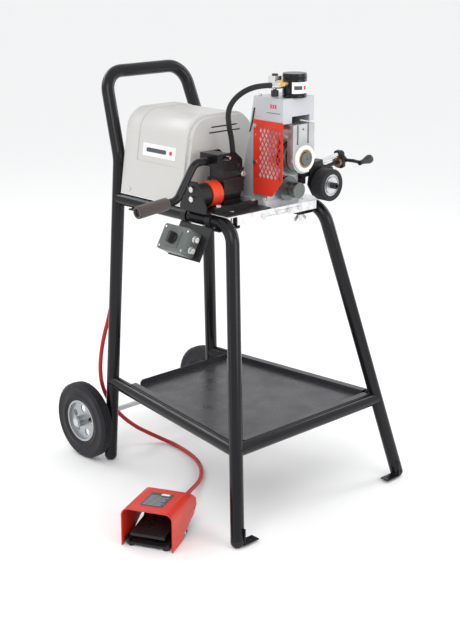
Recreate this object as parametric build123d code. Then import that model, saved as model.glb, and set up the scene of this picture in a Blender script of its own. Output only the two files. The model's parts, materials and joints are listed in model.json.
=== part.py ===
from build123d import *
import os
from math import atan2, cos, degrees, pi, radians, sin, tan

# Powered hydraulic roll groover on a wheeled tube stand.
# Millimetres, +Z up, -Y is the operator's side, +X is to the operator's right.
# Everything is drawn about a point on the floor midway between the rear legs.

# ---------------------------------------------------------------- driving dimensions
TUBE = 38.1            # stand tube, outside diameter
TUBE_WALL = 2.0
TUBE_R = TUBE / 2
WELD_GAP = 0.1              # between the coped end of one tube and the wall of the next
KNEE = (172.5, 0.0, 950.5)          # rear legs lean back above this point
REAR_FOOT = (218.5, 26.5, 0.0)
HANDLE = (151.3, 85.5, 1191.8)
RAIL_X, RAIL_Z, RAIL_FRONT_Y = 178.6, 834.0, -487.1
FRONT_FOOT = (338.3, -676.7, 0.0)
BEND_R = 65.0
TRAY_REAR_Z, TRAY_FRONT_Z = 260.3, 251.2
AXLE_Y, AXLE_Z, AXLE_R = 101.7, 121.5, 8.0
WHEEL_R, WHEEL_W, WHEEL_X = 121.5, 41.0, 257.5
PLATE_T = 3.0
PLATE_TOP = 856.3
PLATE = (-188.0, 188.0, -484.0, -21.0)

COVER_X, COVER_BASE_HALF, COVER_TOP_HALF = -38.0, 150.0, 113.0
COVER_Z0, COVER_Z1, COVER_CORNER = PLATE_TOP, 1101.0, 70.0
COVER_Y0, COVER_Y1, COVER_WALL, NOSE_INSET = -300.0, -22.0, 3.0, 7.0

HEAD_X, HEAD_HALF = 47.0, 61.0
HEAD_TOP, HEAD_GAP_Z = 1158.0, 1108.0
HEAD_FRONT, COLUMN_FRONT, COLUMN_REAR_TOP, COLUMN_REAR_FOOT = -512.0, -455.0, -400.0, -345.0
DRIVE_Z, ROLL_Z = 902.0, 994.0
CYL_Y, CYL_R, CYL_TOP = -495.0, 33.5, 1219.0
RAM_HALF, RAM_FRONT, RAM_BACK, RAM_TOP = 42.0, -533.0, -511.0, 1088.0
SHAFT_R = 15.0
ROD_R = 13.0
FIT = 0.05             # radial running clearance

GEAR_M = 2.0           # gear module
TEETH = ((13, 38), (12, 48), (12, 48))      # output stage first, then towards the motor
STAGE_ANGLE = (137.0, 150.0, 200.0)
MOTOR_R, MOTOR_Y0, MOTOR_Y1 = 62.0, -228.0, -62.0

PUMP_Y, PUMP_Z = -365.0, 898.0
LEVER_PIVOT = (-76.0, 973.0)
PLUNGER_X = -104.0
PORT_X = -61.0

STAB_TILT = 8.7        # degrees the stabilizer slide rises away from the head
STAB_Y = -463.0
STAB_ROD = (108.0, 943.2)           # guide rod centre where it meets the head
STAB_DROP = 20.0                    # screw below the guide rod
ROLLER = (174.0, 900.0)
ROLLER_R = 46.0

SWITCH_AT, SWITCH_TURN = (-521.0, -515.0), 27.7     # foot switch: front middle on the floor, heading
SWITCH_W = 150.0

HOSE_D = 15.0
CORD_D = 12.7

# Route of the hydraulic hose, from the pump port to the ram cylinder's fitting.
HOSE_ROUTE = [
    (-61, -365, 1002), (-64, -364, 1039), (-79, -370, 1070), (-100, -390, 1092), (-124, -412, 1114),
    (-137, -432, 1143), (-133, -455, 1171), (-113, -477, 1191), (-82, -493, 1199), (-46, -495, 1197),
]
# Route of the foot-switch cord: gland, down behind the rear leg, across the floor, into the switch.
CORD_ROUTE = [
    (-95, -5, 838), (-95, 31, 838), (-95, 62.4, 825), (-95.5, 86.4, 801), (-97, 101, 766), (-101, 104, 706),
    (-112, 98, 620), (-136, 87, 530), (-166, 79, 450), (-200, 73, 375), (-217, 69, 300), (-214, 67, 235),
    (-186, 65, 168), (-138, 63, 108), (-88, 59, 62), (-54, 50, 38), (-28, 31, 20), (-12, 2, 9.5), (-8, -38, 7),
    (-18, -110, 7), (-40, -185, 7), (-82, -252, 7), (-140, -304, 8), (-205, -342, 16), (-279.3, -388, 29),
    (-341.3, -420.6, 30),
]


# ---------------------------------------------------------------- helpers
CENTRE_MIN = (Align.CENTER, Align.CENTER, Align.MIN)


def block(x0, x1, y0, y1, z0, z1):
    """A box between two corners."""
    return Pos((x0 + x1) / 2, (y0 + y1) / 2, (z0 + z1) / 2) * Box(x1 - x0, y1 - y0, z1 - z0)


def rod(start, end, radius, bore=0.0):
    """A round bar or sleeve between two points."""
    run = Vector(*end) - Vector(*start)
    at = Plane(origin=start, z_dir=run)
    bar = at * Cylinder(radius, run.length, align=CENTRE_MIN)
    if bore:
        bar -= at * Cylinder(bore, run.length, align=CENTRE_MIN)
    return bar


def hexbar(start, end, across):
    """A hexagonal bar between two points, such as a nut or a bolt head."""
    run = Vector(*end) - Vector(*start)
    face = Plane(origin=start, z_dir=run) * RegularPolygon(across / 2, 6, major_radius=False)
    return extrude(face, run.length)


def slab_yz(x0, x1, points):
    """A plate standing across X with an outline in (y, z)."""
    return extrude(Plane.YZ.offset(x0) * Polygon(*points, align=None), x1 - x0, dir=(1, 0, 0))


def slab_xz(y0, y1, points):
    """A plate standing across Y with an outline in (x, z)."""
    return extrude(Plane.XZ.offset(-y0) * Polygon(*points, align=None), y1 - y0, dir=(0, 1, 0))


def slab_xy(z0, z1, points):
    """A flat plate with an outline in (x, y)."""
    return extrude(Plane.XY.offset(z0) * Polygon(*points, align=None), z1 - z0, dir=(0, 0, 1))


def bent_bar(points, radius, corners):
    """A solid round bar along straight runs joined by arcs."""
    path = FilletPolyline(*points, radius=corners)
    return sweep(Plane(origin=path @ 0, z_dir=path % 0) * Circle(radius), path=path)


def bent_tube(points, corners, radius=TUBE_R, wall=TUBE_WALL):
    """A hollow bent tube."""
    return bent_bar(points, radius, corners) - bent_bar(points, radius - wall, corners)


def both(point, side):
    """A point mirrored to the left (-1) or kept on the right (+1)."""
    return (side * point[0], point[1], point[2])


def between(a, b, z):
    """The point of line a-b at height z."""
    t = (z - a[2]) / (b[2] - a[2])
    return tuple(p + (q - p) * t for p, q in zip(a, b))


def cord_radii(points):
    """Corner radius 0.45 of the shorter run over the tangent of half the turn."""
    radii = []
    for a, b, c in zip(points, points[1:], points[2:]):
        before, after = Vector(*b) - Vector(*a), Vector(*c) - Vector(*b)
        half_turn = radians(before.get_angle(after)) / 2
        radii.append(0.45 * min(before.length, after.length) / tan(half_turn))
    return radii


def cord(name, points, diameter):
    """A free cord's plain tube, with its radii and its volume against section times length."""
    radii = cord_radii(points)
    path = FilletPolyline(*points, radius=radii)
    tube = sweep(Plane(origin=path @ 0, z_dir=path % 0) * Circle(diameter / 2), path=path)
    ideal = pi * diameter ** 2 / 4 * path.length
    print(name, "length", round(path.length), "least radius", round(min(radii)), "radii", [round(r) for r in radii])
    print(name, "volume over section times length", round(tube.volume / ideal, 4))
    return tube


def gear(centre, teeth, y0, y1, phase, hub):
    """A spur gear on an axis along Y; phase is the angle of one tooth in the X-Z plane."""
    pitch = GEAR_M * teeth / 2
    root, tip = pitch - 1.15 * GEAR_M, pitch + 0.85 * GEAR_M
    step = 2 * pi / teeth
    outline = []
    for i in range(teeth):
        middle = radians(phase) + i * step
        for reach, share in ((root, -0.27), (tip, -0.11), (tip, 0.11), (root, 0.27)):
            angle = middle + share * step
            outline.append((centre[0] + reach * cos(angle), centre[1] + reach * sin(angle)))
    wheel = slab_xz(y0, y1, outline)
    return wheel + rod((centre[0], y0, centre[1]), (centre[0], y1, centre[1]), hub)


# ---------------------------------------------------------------- stand
def leg_end(side, foot, top):
    """Where a leg's tube stops and its rubber plug begins."""
    return between(both(foot, side), both(top, side), 17.0)


REAR_CORNERS = [90.0, BEND_R, BEND_R, 90.0]
REAR_PATH = [
    leg_end(-1, REAR_FOOT, KNEE), both(KNEE, -1), both(HANDLE, -1),
    both(HANDLE, 1), both(KNEE, 1), leg_end(1, REAR_FOOT, KNEE),
]


def side_path(side):
    """One bent tube: rail from the rear leg forward, then down to the front foot."""
    start = between(both(KNEE, side), both(REAR_FOOT, side), RAIL_Z)
    corner = (side * RAIL_X, RAIL_FRONT_Y, RAIL_Z)
    return [start, corner, leg_end(side, FRONT_FOOT, (RAIL_X, RAIL_FRONT_Y, RAIL_Z))]


def leg(side, foot, top, gap=0.0):
    """The straight part of one leg as a solid bar, to cut what meets it."""
    return rod(leg_end(side, foot, top), both(top, side), TUBE_R + gap)


def stand():
    nodes = {}
    rear_frame = bent_tube(REAR_PATH, REAR_CORNERS)
    corner = (RAIL_X, RAIL_FRONT_Y, RAIL_Z)
    rails, rail_tubes, plugs = [], [], []
    for side, name in ((-1, "left"), (1, "right")):
        rear, front = leg(side, REAR_FOOT, KNEE), leg(side, FRONT_FOOT, corner)
        rear_cope = leg(side, REAR_FOOT, KNEE, WELD_GAP)
        front_frame = bent_tube(side_path(side), [BEND_R]) - rear_cope
        a = between(both(KNEE, side), both(REAR_FOOT, side), TRAY_REAR_Z)
        b = between(both(corner, side), both(FRONT_FOOT, side), TRAY_FRONT_Z)
        rails.append(rod(a, b, TUBE_R + WELD_GAP))
        rail_tubes.append(rod(a, b, TUBE_R, TUBE_R - TUBE_WALL) - rear_cope - leg(side, FRONT_FOOT, corner, WELD_GAP))
        for foot, top in ((REAR_FOOT, KNEE), (FRONT_FOOT, corner)):
            end = leg_end(side, foot, top)
            inside = between(both(foot, side), both(top, side), 46.0)
            plug = Pos(*end) * Sphere(TUBE_R) + rod(end, inside, TUBE_R - TUBE_WALL)
            keep = Plane(origin=end, z_dir=Vector(*inside) - Vector(*end))
            below = keep * Cylinder(TUBE_R + 1, 30, align=(Align.CENTER, Align.CENTER, Align.MAX))
            plug = (plug & (below + rod(end, inside, TUBE_R - TUBE_WALL))) & block(-400, 400, -750, 80, 0, 80)
            plugs.append(plug)
        tab_x = side * FRONT_FOOT[0]
        reach = sorted((tab_x - side * 66, tab_x - side * 12))
        tab = block(*reach, -692, -664, 7, 11)
        heel_x = sorted((tab_x - side * 16, tab_x - side * 12))
        tab += block(*heel_x, -692, -664, 7, 55)
        tab -= rod((tab_x - side * 48, -678, 0), (tab_x - side * 48, -678, 20), 4.5)
        end = leg_end(side, FRONT_FOOT, (RAIL_X, RAIL_FRONT_Y, RAIL_Z))
        nodes[f"{name}_rail_and_front_leg"] = front_frame + (tab - front - Pos(*end) * Sphere(TUBE_R))
        leg_x, leg_y, _ = between(both(KNEE, side), both(REAR_FOOT, side), AXLE_Z)
        lug = slab_yz(leg_x - 3, leg_x + 3, [
            (leg_y + 6, AXLE_Z - 36), (AXLE_Y - 10, AXLE_Z - 18), (AXLE_Y - 10, AXLE_Z + 18),
            (leg_y + 6, AXLE_Z + 48),
        ])
        lug += rod((leg_x - 3, AXLE_Y, AXLE_Z), (leg_x + 3, AXLE_Y, AXLE_Z), 20)
        lug -= rod((leg_x - 5, AXLE_Y, AXLE_Z), (leg_x + 5, AXLE_Y, AXLE_Z), AXLE_R)
        rear_frame += lug - rear
    fl = between(both(corner, -1), both(FRONT_FOOT, -1), TRAY_FRONT_Z)
    fr = both((-fl[0], fl[1], fl[2]), 1)
    cross = rod(fl, fr, TUBE_R, TUBE_R - TUBE_WALL) - rails[0] - rails[1]
    for side in (-1, 1):
        cross -= leg(side, FRONT_FOOT, corner, WELD_GAP)
    rail_tubes.append(cross)
    nodes["handle_and_rear_legs"] = rear_frame
    nodes["tray_rails"] = Compound(children=rail_tubes)
    nodes["leg_plugs"] = Compound(children=plugs)
    return nodes


def wheels():
    nodes = {}
    hub_in, hub_out = WHEEL_X - 20, WHEEL_X + 33
    axle = rod((-hub_out - 3, AXLE_Y, AXLE_Z), (hub_out + 3, AXLE_Y, AXLE_Z), AXLE_R)
    for side, name in ((-1, "left"), (1, "right")):
        def ring(x0, x1, r, bore):
            return rod((side * x0, AXLE_Y, AXLE_Z), (side * x1, AXLE_Y, AXLE_Z), r, bore)
        half = WHEEL_W / 2
        section = Plane.XY * Polygon(
            (66, -half + 4), (100, -half), (114, -half + 4), (WHEEL_R, -half + 10), (WHEEL_R, half - 10),
            (114, half - 4), (100, half), (66, half - 4), align=None)
        turn = Plane(origin=(side * WHEEL_X, AXLE_Y, AXLE_Z), x_dir=(0, 0, 1), z_dir=(0, side, 0))
        tyre = revolve(turn * section, Axis((0, AXLE_Y, AXLE_Z), (1, 0, 0)))
        nodes[f"{name}_tyre"] = tyre
        rim = ring(WHEEL_X - 17, WHEEL_X + 17, 66, 60) + ring(WHEEL_X + 4, WHEEL_X + 8, 62, 8)
        rim += ring(hub_in, hub_out, 17, AXLE_R + FIT)
        rim -= ring(hub_in - 1, hub_out + 1, AXLE_R + FIT, 0)
        for i in range(5):
            angle = radians(95 + 72 * i)
            y, z = AXLE_Y + 40 * cos(angle), AXLE_Z + 40 * sin(angle)
            rim -= rod((side * (WHEEL_X - 5), y, z), (side * (WHEEL_X + 15), y, z), 11)
        nodes[f"{name}_wheel_rim"] = rim
        axle += ring(hub_out + 0.5, hub_out + 3, 12, 0) + ring(hub_in - 4, hub_in - 0.5, 12, 0)
    nodes["wheel_axle"] = axle
    return nodes


def tray():
    """A folded steel pan hung between the tray rails, with a taller back."""
    rear_x = between(KNEE, REAR_FOOT, TRAY_REAR_Z)
    front = between((RAIL_X, RAIL_FRONT_Y, RAIL_Z), FRONT_FOOT, TRAY_FRONT_Z)
    slope = (front[0] - rear_x[0]) / (rear_x[1] - front[1])
    y0, y1, t, floor = -83.0, front[1] + TUBE_R + 1.5, 1.5, 5.0

    def half(y):
        return rear_x[0] + slope * (rear_x[1] - y)
    wall, lip = TUBE_R + 1.2, 2.0

    def pan(inset, y_back, y_front, z0, z1):
        return slab_xy(z0, z1, [
            (-half(y_back) + inset, y_back), (half(y_back) - inset, y_back),
            (half(y_front) - inset, y_front), (-half(y_front) + inset, y_front)])
    body = pan(wall, y0, y1, floor, TUBE_R + t) - pan(wall + t, y0 + 5, y1 + t, floor + t, 60)
    flange = pan(lip, y0, y1 - TUBE_R, TUBE_R + 0.02, TUBE_R + t) - pan(wall + t, y0 + 5, y1 + t, 0, 60)
    back = slab_xz(y0, y0 + t, [(-180, floor), (-180, 17), (-173, 24), (173, 24), (180, 17), (180, floor)])
    tilt = degrees(atan2(TRAY_REAR_Z - TRAY_FRONT_Z, rear_x[1] - front[1]))
    tray_pan = body + flange + back
    corners = [between((s * RAIL_X, RAIL_FRONT_Y, RAIL_Z), both(FRONT_FOOT, s), TRAY_FRONT_Z) for s in (-1, 1)]
    placed = Pos(0, rear_x[1], TRAY_REAR_Z) * Rot(X=tilt) * Pos(0, -rear_x[1], 0) * tray_pan
    for corner in corners:
        placed -= block(corner[0] - 34, corner[0] + 34, corner[1] - 30, corner[1] + 34, 200, 300)
    return {"tray": placed}


def deck():
    """The machine plate and what holds it to the rails."""
    x0, x1, y0, y1 = PLATE
    plate = block(x0, x1, y0, y1, PLATE_TOP - PLATE_T, PLATE_TOP)
    plate += block(-156, 156, y0, y0 + PLATE_T, PLATE_TOP - 27, PLATE_TOP - PLATE_T)
    plate += block(-140, 140, y1 - PLATE_T, y1, PLATE_TOP - 34, PLATE_TOP - PLATE_T)
    bolts, straps, nuts = [], [], []
    for x in (-60.0, 0.0, 40.0, 86.0):
        plate -= rod((x, y0 - 1, PLATE_TOP - 14), (x, y0 + 5, PLATE_TOP - 14), 4)
        bolts.append(hexbar((x, y0 - 5, PLATE_TOP - 14), (x, y0, PLATE_TOP - 14), 13)
                     + rod((x, y0, PLATE_TOP - 14), (x, y0 + 12, PLATE_TOP - 14), 4))
    for side in (-1, 1):
        rail = bent_bar(side_path(side), TUBE_R, [BEND_R])
        for y in (-440.0, -80.0):
            x = side * 136
            plate -= rod((x, y, PLATE_TOP - 5), (x, y, PLATE_TOP + 1), 4)
            bolts.append(rod((x, y, 790), (x, y, PLATE_TOP), 4)
                         + rod((x, y, PLATE_TOP), (x, y, PLATE_TOP + 3.5), 8))
            ends = sorted((side * 118, side * 196))
            under = RAIL_Z - TUBE_R
            strap = block(*ends, y - 14, y + 14, under - 4, under)
            lip_x = sorted((side * 118, side * 122))
            strap += block(*lip_x, y - 14, y + 14, under - 4, PLATE_TOP - PLATE_T)
            straps.append(strap - rail - rod((x, y, 800), (x, y, 830), 4))
            nut = rod((x, y, under - 12), (x, y, under - 4), 9, 4)
            for wing in (-1, 1):
                nut += slab_xz(y - 2, y + 2, [
                    (x + wing * 7, under - 12), (x + wing * 21, under - 25),
                    (x + wing * 25, under - 17), (x + wing * 7, under - 4)])
            nuts.append(nut - rod((x, y, 780), (x, y, 830), 4))
    return {
        "base_plate": plate,
        "plate_bolts": Compound(children=bolts),
        "rail_clamps": Compound(children=straps),
        "wing_nuts": Compound(children=nuts),
    }


# ---------------------------------------------------------------- power unit
def cover_outline(inset, z0):
    """The moulded cover's arched section, as a face in (x, z)."""
    lean = (COVER_BASE_HALF - COVER_TOP_HALF) / (COVER_Z1 - COVER_Z0)
    top = COVER_Z1 - inset
    low = COVER_BASE_HALF - inset - lean * (z0 - COVER_Z0)
    high = COVER_TOP_HALF - inset + lean * inset
    face = Polygon((COVER_X - low, z0), (COVER_X + low, z0), (COVER_X + high, top), (COVER_X - high, top), align=None)
    return fillet(face.vertices().sort_by(Axis.Y)[2:], COVER_CORNER - inset)


def arch(y0, y1, inset, z0=COVER_Z0):
    return extrude(Plane.XZ.offset(-y1) * cover_outline(inset, z0), y1 - y0)


def motor_cover():
    shell = arch(COVER_Y0 + 14, COVER_Y1, 0) + arch(COVER_Y0, COVER_Y0 + 14, NOSE_INSET)
    recess = arch(-262, -80, -5, 957) - arch(-262, -80, 2.2, 900)
    shell -= recess
    shell -= arch(COVER_Y0 + 14 + COVER_WALL, COVER_Y1 - COVER_WALL, 2.2 + COVER_WALL, COVER_Z0 - 5)
    shell -= arch(COVER_Y0 + COVER_WALL, COVER_Y0 + 18, NOSE_INSET + 2.5, COVER_Z0 - 5)
    shell -= rod((HEAD_X, COVER_Y0 - 5, DRIVE_Z), (HEAD_X, COVER_Y0 + 20, DRIVE_Z), 37)
    shell -= block(HEAD_X - 37, HEAD_X + 37, COVER_Y0 - 5, COVER_Y0 + 20, COVER_Z0 - 5, DRIVE_Z)
    for x0, x1, z in ((-82, 17, 1066), (-91, 29, 1051)):
        shell -= block(x0, x1, COVER_Y0 - 5, COVER_Y0 + 5, z - 2, z + 2)
    lean = degrees(atan2(COVER_BASE_HALF - COVER_TOP_HALF, COVER_Z1 - COVER_Z0))
    screws = []
    for side in (-1, 1):
        for y in (-250.0, -60.0):
            z = COVER_Z0 + 16
            out = COVER_BASE_HALF - 16 * tan(radians(lean))
            normal = Vector(side * cos(radians(lean)), 0, sin(radians(lean)))
            face = Vector(COVER_X + side * out, y, z)
            screws.append(rod(tuple(face + normal * 0.1), tuple(face + normal * 3), 6))
    return {"motor_cover": shell, "cover_screws": Compound(children=screws)}


def gear_centres():
    """Shaft centres in (x, z): output, two layshafts, motor."""
    centres = [(HEAD_X, DRIVE_Z)]
    for (small, large), angle in zip(TEETH, STAGE_ANGLE):
        reach = GEAR_M * (small + large) / 2
        x, z = centres[-1]
        centres.append((x + reach * cos(radians(angle)), z + reach * sin(radians(angle))))
    return centres


GEAR_PLANES = ((-281.0, -267.0), (-262.0, -251.0), (-246.5, -236.5))


def power_train():
    nodes = {}
    out, lay2, lay1, motor = gear_centres()
    large, small = [], []
    for (n_small, n_large), angle, (y0, y1), wheel, pinion in zip(
            TEETH, STAGE_ANGLE, GEAR_PLANES, (out, lay2, lay1), (lay2, lay1, motor)):
        large.append(gear(wheel, n_large, y0, y1, angle, 10))
        small.append(gear(pinion, n_small, y0, y1, angle + 180 + 180 / n_small, 8))

    def shaft(centre, y0, y1, r):
        return rod((centre[0], y0, centre[1]), (centre[0], y1, centre[1]), r)
    nodes["drive_shaft"] = shaft(out, -467, -267, SHAFT_R) + large[0] + shaft(out, -281, -267, 22)
    nodes["layshaft_two"] = shaft(lay2, -290.5, -229.5, 7) + large[1] + small[0]
    nodes["layshaft_one"] = shaft(lay1, -290.5, -229.5, 7) + large[2] + small[1]
    y_rotor0, y_rotor1 = MOTOR_Y0 + 26, MOTOR_Y1 - 40
    rotor = shaft(motor, -246.5, MOTOR_Y1 - 3, 8) + small[2] + shaft(motor, y_rotor0, y_rotor1, 36)
    for i in range(9):
        blade = block(motor[0] - 1.2, motor[0] + 1.2, y_rotor1 + 6, y_rotor1 + 22, motor[1] + 7, motor[1] + 44)
        rotor += Pos(motor[0], 0, motor[1]) * Rot(Y=40 * i) * Pos(-motor[0], 0, -motor[1]) * blade
    nodes["motor_rotor"] = rotor
    stator = rod((motor[0], y_rotor0 - 6, motor[1]), (motor[0], y_rotor1 + 3, motor[1]), MOTOR_R - 4, 37)
    can = rod((motor[0], MOTOR_Y0, motor[1]), (motor[0], MOTOR_Y1, motor[1]), MOTOR_R)
    can -= rod((motor[0], MOTOR_Y0 + 4, motor[1]), (motor[0], MOTOR_Y1 - 4, motor[1]), MOTOR_R - 4)
    can -= shaft(motor, MOTOR_Y0 - 1, MOTOR_Y0 + 5, 8 + FIT) + shaft(motor, MOTOR_Y1 - 5, MOTOR_Y1 + 1, 8 + FIT)
    cradle = block(motor[0] - 46, motor[0] + 46, -200, -90, PLATE_TOP, motor[1] - 30)
    cradle -= block(motor[0] - 34, motor[0] + 34, -201, -89, PLATE_TOP + 6, motor[1] - 36)
    cradle -= rod((motor[0], -230, motor[1]), (motor[0], -60, motor[1]), MOTOR_R)
    nodes["motor_housing"] = Compound(children=[can, stator, cradle])
    outline = Polygon(
        (-126, PLATE_TOP), (91, PLATE_TOP), (91, 915), (66, 985), (14, 1026), (-112, 1026), (-126, 1010), align=None)
    outer = extrude(Plane.XZ.offset(228) * outline, 64)
    case = outer - extrude(Plane.XZ.offset(233) * offset(outline, amount=-3.5, kind=Kind.INTERSECTION), 54)
    case += rod((out[0], -332, out[1]), (out[0], -287, out[1]), 32)
    case -= rod((out[0], -333, out[1]), (out[0], -286, out[1]), 20)
    for centre in (lay1, lay2):
        case -= shaft(centre, -291, -229, 7 + FIT)
    case -= shaft(motor, -240, -220, 8 + FIT)
    nodes["gear_case"] = case
    bushes = [
        rod((out[0], y0, out[1]), (out[0], y1, out[1]), 20, SHAFT_R + FIT)
        for y0, y1 in ((-454, -424), (-390, -362), (-331, -290))
    ]
    nodes["shaft_bushes"] = Compound(children=bushes)
    return nodes


# ---------------------------------------------------------------- grooving head
def head():
    nodes = {}
    x0, x1 = HEAD_X - HEAD_HALF, HEAD_X + HEAD_HALF
    profile = [
        (COLUMN_REAR_FOOT, 872), (COLUMN_REAR_TOP, HEAD_TOP), (HEAD_FRONT, HEAD_TOP), (HEAD_FRONT, HEAD_GAP_Z),
        (COLUMN_FRONT - 15, HEAD_GAP_Z), (COLUMN_FRONT, HEAD_GAP_Z - 15), (COLUMN_FRONT, 872),
    ]
    casting = slab_yz(x0, x1, profile)
    flange = block(x0 - 9, x1 + 9, COLUMN_FRONT - 2, -335, PLATE_TOP, 872)
    flange = fillet(flange.edges().filter_by(Axis.Z), 10)
    casting += flange
    for side in (-1, 1):
        face = x0 if side < 0 else x1
        groove = slab_yz(face - 6, face + 6, [
            (-350, 950), (-357, 993), (-367, 1020), (-379, 1052), (-391, 1086), (-399, 1125), (-406, 1125),
            (-398, 1085), (-387, 1050), (-375, 1018), (-365, 990), (-359, 950)])
        casting -= groove
    for x in (HEAD_X - 47, HEAD_X + 43.5):
        casting += block(x, x + 3.5, COLUMN_FRONT - 20, COLUMN_FRONT, 1000, HEAD_GAP_Z)
    for ends in ((x0, x0 + 35), (HEAD_X + RAM_HALF + 1.5, x1)):
        casting += block(*ends, HEAD_FRONT, COLUMN_FRONT, RAM_TOP + 2, HEAD_GAP_Z)
    casting -= rod((HEAD_X, -460, DRIVE_Z), (HEAD_X, -330, DRIVE_Z), 20)
    casting -= rod((HEAD_X, CYL_Y, HEAD_GAP_Z - 5), (HEAD_X, CYL_Y, HEAD_TOP + 5), ROD_R + FIT)
    bolts = []
    for x in (x0 - 1, x1 + 1):
        for y in (-445.0, -347.0):
            at_x = x - 1 if x < HEAD_X else x + 1
            bolts.append(hexbar((at_x, y, 872), (at_x, y, 881), 13))
    for sx in (x0 + 12, x1 - 12):
        for sy in (-412.0,):
            bolts.append(rod((sx, sy, HEAD_TOP), (sx, sy, HEAD_TOP + 5), 6, 2.5))
    casting += rod((0, -466, HEAD_TOP - 1), (0, -466, HEAD_TOP + 2.7), 6)
    nodes["head_casting"] = casting
    nodes["head_bolts"] = Compound(children=[b - casting for b in bolts])
    return nodes


def ram_parts():
    nodes = {}
    left, right = HEAD_X - RAM_HALF, HEAD_X + RAM_HALF
    front = slab_xz(RAM_FRONT, RAM_BACK, [(left, ROLL_Z), (right, ROLL_Z), (right, RAM_TOP), (left, RAM_TOP)])
    front += rod((HEAD_X, RAM_FRONT, ROLL_Z), (HEAD_X, RAM_BACK, ROLL_Z), RAM_HALF)
    rear = slab_xz(-466, -457, [(left, ROLL_Z), (right, ROLL_Z), (right, RAM_TOP), (left, RAM_TOP)])
    rear += rod((HEAD_X, -466, ROLL_Z), (HEAD_X, -457, ROLL_Z), RAM_HALF)
    ram = front + rear + block(left, right, RAM_BACK, -466, ROLL_Z + 64, RAM_TOP)
    for x0, x1 in ((left + 14, left + 21), (HEAD_X + 13, HEAD_X + 20)):
        ram -= block(x0, x1, RAM_FRONT - 1, RAM_FRONT + 6, ROLL_Z + 40, RAM_TOP + 1)
    ram -= rod((HEAD_X - 3, RAM_FRONT - 1, RAM_TOP - 14), (HEAD_X - 3, RAM_FRONT + 12, RAM_TOP - 14), 3)
    ram -= rod((HEAD_X, RAM_FRONT - 5, ROLL_Z), (HEAD_X, -450, ROLL_Z), 24)
    nodes["ram"] = ram
    ring = rod((HEAD_X, -541, ROLL_Z), (HEAD_X, RAM_FRONT, ROLL_Z), 36, 25.5)
    bushes = [
        rod((HEAD_X, RAM_FRONT, ROLL_Z), (HEAD_X, RAM_BACK, ROLL_Z), 24, 19 + FIT)
        + rod((HEAD_X, -542.5, ROLL_Z), (HEAD_X, RAM_FRONT, ROLL_Z), 25.4, 19 + FIT),
        rod((HEAD_X, -466, ROLL_Z), (HEAD_X, -457, ROLL_Z), 24, 19 + FIT),
    ]
    roll = rod((HEAD_X, -507, ROLL_Z), (HEAD_X, -482, ROLL_Z), 46)
    roll += rod((HEAD_X, -499, ROLL_Z), (HEAD_X, -492, ROLL_Z), 50)
    nodes["ram_bushes_and_ring"] = Compound(children=[ring] + bushes)
    pin = rod((HEAD_X, -547, ROLL_Z), (HEAD_X, -458, ROLL_Z), 19)
    pin -= rod((HEAD_X, -548, ROLL_Z), (HEAD_X, -541, ROLL_Z), 2)
    nodes["upper_groove_roll"] = roll + pin
    piston = rod((HEAD_X, CYL_Y, RAM_TOP), (HEAD_X, CYL_Y, 1196), ROD_R)
    piston += rod((HEAD_X, CYL_Y, 1193), (HEAD_X, CYL_Y, 1208), 25 - FIT)
    nodes["ram_piston"] = piston
    barrel = rod((HEAD_X, CYL_Y, HEAD_TOP), (HEAD_X, CYL_Y, CYL_TOP), CYL_R)
    barrel -= rod((HEAD_X, CYL_Y, HEAD_TOP - 1), (HEAD_X, CYL_Y, 1212), 25)
    for z in (1164.0, 1207.0):
        barrel -= rod((HEAD_X, CYL_Y, z), (HEAD_X, CYL_Y, z + 2.5), CYL_R + 2, CYL_R - 1.2)
    nodes["ram_cylinder"] = barrel + rod((HEAD_X, CYL_Y, CYL_TOP - 1), (HEAD_X, CYL_Y, CYL_TOP + 4), CYL_R - 1)
    nodes["return_spring"] = spring((HEAD_X, CYL_Y, HEAD_TOP + 2.2), 30.5, 19.0, 2.0, 4.5)
    return nodes


def spring(base, height, radius, wire, turns):
    """A round-wire compression spring standing on base."""
    coil = Helix(pitch=height / turns, height=height, radius=radius)
    wire_face = Plane(origin=coil @ 0, z_dir=coil % 0) * Circle(wire)
    return Pos(*base) * sweep(wire_face, path=coil, is_frenet=True)


def drive_roll():
    x, z = HEAD_X, DRIVE_Z
    steps = ((-479, -467, 35), (-491, -479, 20), (-500, -491, 17), (-520, -500, 22))
    roll = rod((x, steps[0][0], z), (x, steps[0][1], z), steps[0][2])
    for y0, y1, r in steps[1:]:
        roll += rod((x, y0, z), (x, y1, z), r)
    return {"drive_roll": roll}


GUARD_X = HEAD_X - HEAD_HALF


def guard():
    """Folded sheet guard over the rolls' left side, pierced with diamonds."""
    front, back, fold, top = -514, -400, 932, 1094
    sheet = slab_yz(GUARD_X - 2, GUARD_X, [(front, fold), (back, fold), (back, top), (front, top)])
    step_y, step_z, fill = 7.3, 12.5, 0.79      # half spacing of the staggered diamonds, and their share of it
    for column in range(11):
        for row in range(column % 2, 12, 2):
            y, z = -501 + column * step_y, 941 + row * step_z
            half_y, half_z = fill * step_y, fill * step_z
            if z < top - 20:
                sheet -= slab_yz(GUARD_X - 4, GUARD_X + 2, [(y - half_y, z), (y, z - half_z), (y + half_y, z), (y, z + half_z)])
    sheet -= rod((GUARD_X - 4, -408, 1052), (GUARD_X + 2, -408, 1052), 3.5)
    lower = Polyline((front, fold + 1.5), (back, fold + 1.5), (-411, 888), (-484, 888), close=True)
    flap = extrude(Plane.YZ.offset(GUARD_X - 2) * make_face(lower), 1.5)
    hinge = Axis((GUARD_X - 2, 0, 932), (0, 1, 0))
    sheet += flap.rotate(hinge, 14)
    screws = [
        rod((GUARD_X - 6, -409, z), (GUARD_X - 2, -409, z), 6) for z in (1077.0, 975.0)
    ]
    return {"roll_guard": sheet, "guard_screws": Compound(children=screws)}


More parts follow.
